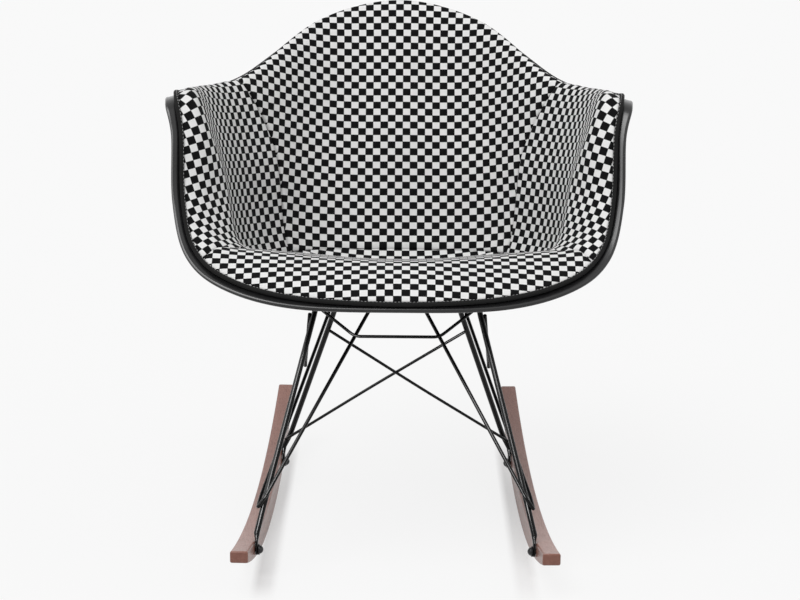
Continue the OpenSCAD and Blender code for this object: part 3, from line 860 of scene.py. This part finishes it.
# Places on the base
base = {
    "frontSpan": 0.409, "rearSpan": 0.363, "length": 0.686, "width": 0.0225, "height": 0.035,
    "radius": 0.980, "topRadius": 1.390, "touchY": -0.0535 * 0.686, "dipY": -0.0868 * 0.686,
    "legDiameter": 0.0075, "wireDiameter": 0.0048, "thinWireDiameter": 0.0042,
    "strapWide": 0.014, "strapThick": 0.0042,
    "mountWide": 0.038, "mountHigh": 0.015, "plateWide": 0.034, "plateThick": 0.003,
    "boltHeadWide": 0.011, "screwHeadWide": 0.010, "headRoom": 0.002,
}
splay = math.atan((base["frontSpan"] - base["rearSpan"]) / 2 / base["length"])
innerX = (base["frontSpan"] + base["rearSpan"]) / 4 - base["width"]
boltPlaces = [(-0.372 * base["length"], 1.045 * base["height"]),
              (0.206 * base["length"], 0.93 * base["height"])]
gap = bucket["clearance"]


def place(share):
    return Vector((share[0] * base["frontSpan"] / 2, share[1] * base["length"],
                   share[2] * bucket["frontEdge"]))


def byRocker(v):
    return Vector((innerX + v[0] * math.cos(splay) - v[1] * math.sin(splay),
                   v[0] * math.sin(splay) + v[1] * math.cos(splay), v[2]))


ribShares = [0, 0.4, 0.8, 1.2, 1.6, 2]


def mountFrame(column, line):
    # the top of a rubber mount, below the facet corner of the shell that it is screwed to
    def corner(i, j):
        return cover((i % 66) / 3, ribShares[j])
    along = corner(column + 1, line) - corner(column - 1, line)
    outwards = corner(column, line + 1) - corner(column, line - 1)
    up = outwards.cross(along).normalized()
    top = corner(column, line) - (foamAt(0) + bucket["shellThickness"] + gap) * up
    return top, up


mountPlaces = {"front": mountFrame(5, 3), "rear": mountFrame(21, 2)}


def plateLow(which):
    top, up = mountPlaces[which]
    return top - (base["mountHigh"] + gap + base["plateThick"]) * up, up


def mirrored(obj, name):
    copy = obj.copy()
    copy.data = obj.data.copy()
    copy.name = name
    copy.data.name = name
    scene.collection.objects.link(copy)
    copy.data.transform(Matrix.Scale(-1, 4, (1, 0, 0)))
    copy.data.flip_normals()
    return copy


def finishBoth(right, name, material, slotName, node):
    # the piece on the right and its mirror image on the left
    right.name = name + "Right"
    left = mirrored(right, name + "Left")
    finishPiece(right, material, slotName, node + "_right")
    finishPiece(left, material, slotName, node + "_left")


def soften(points, reach, steps=7):
    out = [points[0]]
    for before, here, after in zip(points, points[1:], points[2:]):
        a = here + reach * (before - here).normalized()
        b = here + reach * (after - here).normalized()
        for k in range(steps + 1):
            u = k / steps
            out.append((1 - u) ** 2 * a + 2 * u * (1 - u) * here + u * u * b)
    return out + [points[-1]]


def rod(name, points, diameter):
    # a bent rod: a path given a round bevel, with slightly broken end edges
    first = points[0] + 0.0004 * (points[1] - points[0]).normalized()
    last = points[-1] + 0.0004 * (points[-2] - points[-1]).normalized()
    run = [(points[0], 0.88), (first, 1)] + [(p, 1) for p in points[1:-1]] + [(last, 1), (points[-1], 0.88)]
    deselectAll()
    bpy.ops.curve.primitive_nurbs_path_add()
    obj = bpy.context.object
    obj.name = name
    obj.location = (0, 0, 0)
    data = obj.data
    data.splines.clear()
    spline = data.splines.new("POLY")
    spline.points.add(len(run) - 1)
    for point, (p, r) in zip(spline.points, run):
        point.co = (p.x, p.y, p.z, 1)
        point.radius = r
    data.dimensions = "3D"
    data.twist_mode = "MINIMUM"
    data.bevel_depth = diameter / 2
    data.bevel_resolution = 5
    data.use_fill_caps = True
    makeActive(obj)
    bpy.ops.object.convert(target="MESH")
    obj = bpy.context.object
    obj.data.name = name
    faceOutwards(obj, merge=True)
    settle(obj)
    smooth(obj, 40)
    return obj


# Legs
legs = {
    "front": {"bolt": boltPlaces[0], "knee": (0.8205, -0.36, 0.256), "top": (0.5205, -0.1968, 0.875)},
    "rear": {"bolt": boltPlaces[1], "knee": (0.7510, 0.1983, 0.2027), "top": (0.4190, 0.0219, 0.781)},
    "bend": 0.008,
    "footSteps": [-0.5, -0.49, -0.465, -0.42, -0.35, -0.25, -0.12, 0, 0.2, 0.4, 0.6, 0.8, 0.9, 1.05, 1.2,
                  1.35, 1.5, 1.6],
}


def buildLeg(which):
    values = legs[which]
    boltY, boltZ = values["bolt"]
    wide = base["strapWide"]
    axis = -gap - base["strapThick"] / 2
    foot = [byRocker((axis, boltY, boltZ + s * wide)) for s in legs["footSteps"]]
    low, up = plateLow(which)
    toward = place(values["top"]) - low
    flat = (toward - toward.dot(up) * up).normalized()
    below = low - (base["legDiameter"] / 2 + gap) * up
    slope = soften([foot[-1], place(values["knee"]), place(values["top"]),
                    below + base["plateWide"] / 2 * flat,
                    below + (base["screwHeadWide"] / 2 + base["headRoom"]) * flat], legs["bend"])
    leg = rod(which + "Leg", foot + slope[1:], base["legDiameter"])
    normal = Vector((math.cos(splay), math.sin(splay), 0))
    level = Vector((-math.sin(splay), math.cos(splay), 0))
    centre = byRocker((axis, boltY, 0))
    for v in leg.data.vertices:
        s = (v.co.z - boltZ) / wide
        if s > 1.6:
            continue
        blendIn = min(1, max(0, (1.6 - s) / 0.8))
        blendIn = blendIn * blendIn * (3 - 2 * blendIn)
        rounded = math.sqrt(max(0, 1 - (s / 0.5) ** 2)) if s < 0 else 1
        dn = (v.co - centre).dot(normal)
        dl = (v.co - centre).dot(level)
        newN = dn * (1 + (base["strapThick"] / base["legDiameter"] - 1) * blendIn)
        newL = dl * (1 + (wide / base["legDiameter"] * rounded - 1) * blendIn)
        v.co += (newN - dn) * normal + (newL - dl) * level
    leg.data.update()
    return leg


for which in ("front", "rear"):
    finishBoth(buildLeg(which), which + "Leg", powderCoat, "wire", which + "_leg")
print("legs made")


# Wires
wires = {
    "vRear": (0.4594, 0.0248, 0.7695), "vRearLow": (0.8460, -0.3370, 0.2680),
    "vBend": (0.8590, -0.3685, 0.2470), "vFrontLow": (0.8044, -0.3690, 0.2925), "vTopX": 0.266,
    "sideTop": (0.557, -0.1997, 0.8595), "sideLow": (0.6015, -0.0977, 0.6216),
    "braceEnd": (0.494, -0.2012, 0.881), "braceCorner": (0.267, -0.2335, 0.7945),
    "crossTop": (0.4572, 0.0379, 0.693), "crossLow": (0.7848, 0.1913, 0.186), "crossBow": 0.04,
}
plateFront, upFront = plateLow("front")
rodDrop = base["wireDiameter"] / 2 + gap + base["plateWide"] / 2 * abs(upFront.x)
rodZ = plateFront.z - rodDrop
rodEndX = plateFront.x - base["screwHeadWide"] / 2 - base["headRoom"]
topRod = rod("frontTopRod", [Vector((-rodEndX, plateFront.y, rodZ)), Vector((0, plateFront.y, rodZ)),
                             Vector((rodEndX, plateFront.y, rodZ))], base["wireDiameter"])
finishPiece(topRod, powderCoat, "wire", "front_top_rod")
vTop = Vector((wires["vTopX"] * rodEndX, plateFront.y, rodZ - base["wireDiameter"] - gap))
vPoints = [place(wires[key]) for key in ("vRear", "vRearLow", "vBend", "vFrontLow")] + [vTop]
vWire = rod("vWireRight", soften(vPoints, base["wireDiameter"]), base["wireDiameter"])
finishBoth(vWire, "vWire", powderCoat, "wire", "v_wire")
sideTop = place(wires["sideTop"])
sideLow = place(wires["sideLow"])
sideWire = rod("sideWireRight", [sideTop, (sideTop + sideLow) / 2, sideLow], base["wireDiameter"])
finishBoth(sideWire, "sideWire", powderCoat, "wire", "side_wire")
end = place(wires["braceEnd"])
corner = place(wires["braceCorner"])
across = Vector((-1, 1, 1))
bracePoints = soften([end, corner, corner * across, end * across], legs["bend"])
brace = rod("frontBraceWire", bracePoints, base["thinWireDiameter"])
finishPiece(brace, powderCoat, "wire", "front_brace_wire")
crossTop = place(wires["crossTop"])
crossLow = place(wires["crossLow"]) * across
away = (crossLow - crossTop).cross(Vector((1, 0, 0))).normalized()
for name, bow, flip, node in (("crossWireFront", -1, False, "cross_brace_a"),
                              ("crossWireRear", 1, True, "cross_brace_b")):
    middle = (crossTop + crossLow) / 2 + bow * (base["thinWireDiameter"] + gap) / 2 * away
    points = soften([crossTop, middle, crossLow], wires["crossBow"])
    if flip:
        points = [p * across for p in points]
    finishPiece(rod(name, points, base["thinWireDiameter"]), powderCoat, "wire", node)
print("wires made")


# Rockers
def buildRocker():
    deselectAll()
    bpy.ops.mesh.primitive_grid_add(x_subdivisions=120, y_subdivisions=6, size=1)
    rocker = bpy.context.object
    half = base["length"] / 2
    for v in rocker.data.vertices:
        y = v.co.x * base["length"]
        share = v.co.y + 0.5
        low = base["radius"] - math.sqrt(base["radius"] ** 2 - (y - base["touchY"]) ** 2)
        sunk = base["topRadius"] - math.sqrt(base["topRadius"] ** 2 - (y - base["dipY"]) ** 2)
        high = base["height"] + sunk
        v.co = (0, max(-half, min(half, y)), low + (high - low) * share)
    rocker.data.update()
    makeActive(rocker)
    bpy.ops.object.mode_set(mode="EDIT")
    bpy.ops.mesh.select_all(action="SELECT")
    bpy.ops.mesh.extrude_region_move(TRANSFORM_OT_translate={"value": (base["width"], 0, 0)})
    faceOutwards(rocker)
    rounding = rocker.modifiers.new("rounding", "BEVEL")
    rounding.width = 0.0022
    rounding.segments = 3
    rounding.limit_method = "ANGLE"
    rounding.angle_limit = math.radians(50)
    applyAll(rocker)
    rocker.data.transform(Matrix.Translation((innerX, 0, 0)) @ Matrix.Rotation(splay, 4, "Z"))
    settle(rocker)
    smooth(rocker, 35)
    return rocker


finishBoth(buildRocker(), "rocker", wood, "rocker_wood", "rocker")
print("rockers made")


# Bolts and washers
fasteners = {"headHigh": 0.0044, "washerThick": 0.0012, "washerWide": 0.014, "boltWide": 0.006,
             "reach": 0.0169}


def turned(name, profile, sides=32):
    # a profile of (radius, height) pairs spun round +Z
    deselectAll()
    bpy.ops.mesh.primitive_circle_add(vertices=3, radius=0.001)
    obj = bpy.context.object
    obj.name = name
    mesh = bmesh.new()
    chain = [mesh.verts.new((r, 0, h)) for r, h in profile]
    for a, b in zip(chain, chain[1:]):
        mesh.edges.new((a, b))
    mesh.to_mesh(obj.data)
    mesh.free()
    makeActive(obj)
    bpy.ops.object.mode_set(mode="EDIT")
    bpy.ops.mesh.select_all(action="SELECT")
    bpy.ops.mesh.spin(steps=sides, angle=math.tau, center=(0, 0, 0), axis=(0, 0, 1), use_auto_merge=True)
    faceOutwards(obj, merge=True)
    smooth(obj, 35)
    return obj


def copiesAt(obj, name, places):
    # one piece made of copies of obj, each placed by its own matrix
    made = []
    for matrix in places:
        copy = obj.copy()
        copy.data = obj.data.copy()
        scene.collection.objects.link(copy)
        copy.data.transform(matrix)
        if matrix.determinant() < 0:
            copy.data.flip_normals()
        made.append(copy)
    bpy.data.objects.remove(obj)
    deselectAll()
    for copy in made:
        copy.select_set(True)
    bpy.context.view_layer.objects.active = made[0]
    bpy.ops.object.join()
    joined = bpy.context.object
    joined.name = name
    joined.data.name = name
    smooth(joined, 35)
    return joined


def onBothSides(matrices):
    flips = (Matrix.Identity(4), Matrix.Scale(-1, 4, (1, 0, 0)))
    return [flip @ matrix for flip in flips for matrix in matrices]


def boltMatrices(inside):
    # +Z of the turned part points out through the rocker
    turnOut = Matrix.Rotation(splay, 4, "Z") @ Matrix.Rotation(math.radians(90), 4, "Y")
    return onBothSides([Matrix.Translation(byRocker((-inside, y, z))) @ turnOut for y, z in boltPlaces])


stack = base["strapThick"] + 2 * gap
headR = base["boltHeadWide"] / 2
headH = fasteners["headHigh"]
ballR = (headH ** 2 + headR ** 2) / (2 * headH)
domeSteps = 8
washerT = fasteners["washerThick"]
boltEnd = stack + washerT + gap + fasteners["reach"]
boltR = fasteners["boltWide"] / 2
dome = [(0, -headH)]
for k in range(1, domeSteps + 1):
    w = math.asin(headR / ballR) * k / domeSteps
    dome.append((ballR * math.sin(w), -headH + ballR * (1 - math.cos(w))))
dome += [(headR, -0.0001), (headR - 0.0004, 0), (boltR, 0), (boltR, boltEnd), (0, boltEnd)]
bolts = copiesAt(turned("boltStart", dome), "rockerBolts", boltMatrices(stack + washerT + gap))
finishPiece(bolts, blackSteel, "fastener", "rocker_bolts")


def ring(hole, outer, thick, edge):
    # a flat ring's profile, with its outer corners broken by edge
    return [(hole, 0), (outer - edge, 0), (outer, edge), (outer, thick - edge), (outer - edge, thick),
            (hole, thick), (hole, 0)]


washer = ring(boltR + gap, fasteners["washerWide"] / 2, washerT, 0.0003)
washers = copiesAt(turned("washerStart", washer), "rockerWashers", boltMatrices(stack + washerT))
finishPiece(washers, blackSteel, "fastener", "rocker_washers")
print("bolts and washers made")


# Rubber mounts, plates and screws
def mountMatrices(depth):
    return onBothSides([Matrix.Translation(top - depth * up) @ up.to_track_quat("Z", "Y").to_matrix().to_4x4()
                        for top, up in mountPlaces.values()])


mounting = {"holeWide": 0.0066, "holeDeep": 0.0123, "waist": 0.004, "screwWide": 0.006, "headHigh": 0.004,
            "socketWide": 0.0052, "socketDeep": 0.002, "screwReach": 0.0152}
wideR = base["mountWide"] / 2
neckR = wideR - mounting["waist"]
high = base["mountHigh"]
holeR = mounting["holeWide"] / 2
deep = mounting["holeDeep"]
puck = [(holeR, 0), (neckR - 0.001, 0), (neckR, 0.001), (neckR - 0.0008, 0.005),
        (neckR - 0.0002, high - 0.0065), (wideR - 0.0012, high - 0.0048), (wideR, high - 0.0036),
        (wideR, high - 0.0008), (wideR - 0.0008, high), (0, high), (0, deep), (holeR, deep), (holeR, 0)]
mounts = copiesAt(turned("mountStart", puck, 40), "shockMounts", mountMatrices(high))
finishPiece(mounts, rubber, "mount_rubber", "shock_mounts")
plateT = base["plateThick"]
disc = ring(holeR, base["plateWide"] / 2, plateT, 0.0005)
plates = copiesAt(turned("plateStart", disc, 40), "mountPlates", mountMatrices(high + gap + plateT))
finishPiece(plates, powderCoat, "wire", "mount_plates")
headR = base["screwHeadWide"] / 2
headH = mounting["headHigh"]
socketR = mounting["socketWide"] / 2
shankR = mounting["screwWide"] / 2
reach = mounting["screwReach"]
screw = [(0, -mounting["socketDeep"]), (socketR, -mounting["socketDeep"]), (socketR + 0.0004, -headH),
         (headR - 0.0006, -headH), (headR, 0.0006 - headH), (headR, 0), (shankR, 0), (shankR, reach),
         (0, reach)]
screws = copiesAt(turned("screwStart", screw), "mountScrews", mountMatrices(high + 2 * gap + plateT))
finishPiece(screws, blackSteel, "fastener", "mount_screws")
print("mounts made")


# Floor, lights and camera
stage = {
    "floorSize": 60, "floorColour": (0.93, 0.93, 0.93, 1),
    "backdrop": 0.9487, "backdropShare": 0.90,      # how pale all around is, and the floor's share of it
    "worldLight": 0.45, "keyStrength": 1.75, "keyAngle": 40, "fillStrength": 0.35, "fillAngle": 60,
    "sideStrength": 3.5, "sideAngle": 60,
    "lineStrength": 4.0, "lineAngle": 24,
    "lowStrength": 8.5, "lowAngle": 30,
    "shadowStripPlace": 0.166, "shadowStripReach": 0.018, "shadowStripShare": 0.5,      # a painted shadow strip beside each rocker's inner side, where more of the floor's real shadow shows
    "shadeFull": 0.28, "shadeEnd": 0.38,
}


def seenRays(sheet):
    # 1 where something is seen, directly, in a gloss or through a clear piece, and 0 where it gives light
    path = sheet.add("ShaderNodeLightPath").outputs
    direct = sheet.math("MAXIMUM", path["Is Camera Ray"], path["Is Glossy Ray"])
    return sheet.math("MAXIMUM", direct, path["Is Transmission Ray"])


deselectAll()
bpy.ops.mesh.primitive_plane_add(size=stage["floorSize"], location=(0, 0, 0))
floor = bpy.context.object
floor.name = "studioFloor"
floorMaterial, s, shader = newMaterial("paleFloor", Base_Color=stage["floorColour"], Roughness=0.9,
                                       Specular_IOR_Level=0.0)
floor.data.materials.append(floorMaterial)
# seen directly or in a gloss, most of the floor has the backdrop's colour, and the rest keeps the shadow
seen = seenRays(s)
pale = s.add("ShaderNodeEmission")
pale.inputs["Color"].default_value = (stage["backdrop"],) * 3 + (1,)
pale.inputs["Strength"].default_value = 1.0
blend = s.add("ShaderNodeMixShader")
parts = s.add("ShaderNodeSeparateXYZ")
s.join(objectPlace(s), parts.inputs[0])
# a mask by place, not by light, lets more of the shaded floor show in a strip along each rocker's inner side:
# painted shadow
away = s.math("ABSOLUTE", s.math("SUBTRACT", s.math("ABSOLUTE", parts.outputs[0]), stage["shadowStripPlace"]))
beside = s.ramp(away, stage["shadowStripReach"] * 0.4, stage["shadowStripReach"], 1.0, 0.0)
alongRocker = s.ramp(s.math("ABSOLUTE", parts.outputs[1]), stage["shadeFull"], stage["shadeEnd"], 1.0, 0.0)
share = s.ramp(s.math("MULTIPLY", beside, alongRocker), 0, 1, stage["backdropShare"], stage["shadowStripShare"])
s.join(s.math("MULTIPLY", seen, share), blend.inputs[0])
s.join(shader.outputs[0], blend.inputs[1])
s.join(pale.outputs[0], blend.inputs[2])
for node in floorMaterial.node_tree.nodes:
    if node.type == "OUTPUT_MATERIAL":
        s.join(blend.outputs[0], node.inputs[0])
floor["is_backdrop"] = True

world = bpy.data.worlds.new("studioWorld")
scene.world = world
world.use_nodes = True
world.node_tree.nodes.clear()
s = Sheet(world.node_tree)
lightSide = s.add("ShaderNodeBackground")
lightSide.inputs["Color"].default_value = (1, 1, 1, 1)
lightSide.inputs["Strength"].default_value = stage["worldLight"]
seenSide = s.add("ShaderNodeBackground")
seenSide.inputs["Color"].default_value = (stage["backdrop"],) * 3 + (1,)
seenSide.inputs["Strength"].default_value = 1.0
chooser = s.add("ShaderNodeMixShader")
s.join(seenRays(s), chooser.inputs[0])
s.join(lightSide.outputs[0], chooser.inputs[1])
s.join(seenSide.outputs[0], chooser.inputs[2])
s.join(chooser.outputs[0], s.add("ShaderNodeOutputWorld").inputs[0])


def lamp(name, strength, angle, direction):
    deselectAll()
    bpy.ops.object.light_add(type="SUN")
    light = bpy.context.object
    light.name = name
    light.data.energy = strength
    light.data.angle = math.radians(angle)
    light.rotation_euler = Vector(direction).to_track_quat("-Z", "Y").to_euler()
    return light


lamp("keyLamp", stage["keyStrength"], stage["keyAngle"], (0.35, 0.55, -1.0))
lamp("fillLamp", stage["fillStrength"], stage["fillAngle"], (-0.6, 0.4, -0.7))


def piecesIn(name, finishes):
    group = bpy.data.collections.new(name)
    for obj in scene.objects:
        if obj.type == "MESH" and obj.data.materials and obj.data.materials[0] in finishes:
            group.objects.link(obj)
    return group


# soft boxes on the left are seen in the gloss alone: one in the shell's and the wires', two in the wires'
for name, direction, finishes in (("side", (0.80, 0.30, -0.62), (shellMaterial, powderCoat)),
                                  ("line", (0.28, 0.75, -0.60), (powderCoat,)),
                                  ("low", (0.35, 0.93, -0.12), (powderCoat,))):
    glow = lamp(name + "Lamp", stage[name + "Strength"], stage[name + "Angle"], direction)
    glow.visible_diffuse = False
    glow.visible_transmission = False
    glow.light_linking.receiver_collection = piecesIn(name + "Lit", finishes)

photo = {"place": (0.0033, -2.917, 0.970), "pitch": 12.82, "roll": 0.45, "focalPixels": 2197, "wide": 800}
bpy.ops.object.camera_add(location=photo["place"])
camera = bpy.context.object
camera.name = "photoCamera"
camera.rotation_mode = "QUATERNION"
tilt = Matrix.Rotation(math.radians(90 - photo["pitch"]), 4, "X")
roll = Matrix.Rotation(math.radians(photo["roll"]), 4, "Z")
camera.rotation_quaternion = (tilt @ roll).to_quaternion()
camera.data.sensor_width = 36
camera.data.sensor_fit = "HORIZONTAL"
camera.data.lens = photo["focalPixels"] * camera.data.sensor_width / photo["wide"]
camera.data.clip_end = 200
scene.camera = camera
scene.view_settings.view_transform = "Standard"

low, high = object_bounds()
print("scene ready, visual box", [round(v, 4) for v in list(low) + list(high)])
